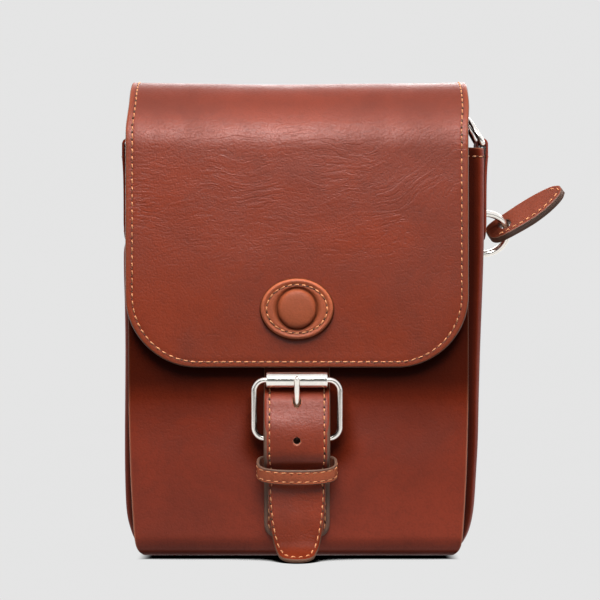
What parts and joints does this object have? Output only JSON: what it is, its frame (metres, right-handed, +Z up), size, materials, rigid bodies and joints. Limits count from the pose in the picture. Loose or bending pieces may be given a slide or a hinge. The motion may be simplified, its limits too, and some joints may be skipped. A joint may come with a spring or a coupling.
{
  "type": "crossbody bag",
  "caption": "Small upright leather crossbody bag: flap over the top, front strap with roller buckle and keeper loop, soft gusset sides, strap rings and a leather pull on a side ring.",
  "frame": {"origin": "on the floor under the middle of the flat base", "axes": "+Z up along the bag's height, +X to the bag's right side as seen from the front, the front faces -Y"},
  "size_m": [0.2436, 0.0927, 0.2552],
  "materials": {
    "leather": "semi-gloss waxed chestnut leather with fine grain",
    "badge_leather": "semi-gloss lighter tan leather",
    "steel": "satin nickel-plated steel",
    "thread": "waxed orange-tan stitching thread"
  },
  "bodies": {
    "bag": {"body_wrap": "leather", "left_gusset": "leather", "right_gusset": "leather", "flap": "leather", "closure_strap": "leather", "buckle_base_strap": "leather", "keeper_loop": "leather", "right_ring_tab": "leather", "left_ring_tab": "leather", "pull_loop": "leather", "pull_tab": "leather", "badge": "badge_leather", "buckle_frame": "steel", "buckle_roller": "steel", "buckle_prong": "steel", "pull_ring": "steel"},
    "right_ring": {"right_d_ring": "steel"},
    "left_ring": {"left_d_ring": "steel"}
  },
  "joints": [
    {"name": "right_ring_swing", "type": "hinge", "parent": "bag", "child": "right_ring", "pos_m": [0.0993, -0.011, 0.2203], "axis": [0, 1, 0], "range_deg": [-42, 143]},
    {"name": "left_ring_swing", "type": "hinge", "parent": "bag", "child": "left_ring", "pos_m": [-0.0907, -0.011, 0.2203], "axis": [0, -1, 0], "range_deg": [-42, 143]}
  ]
}
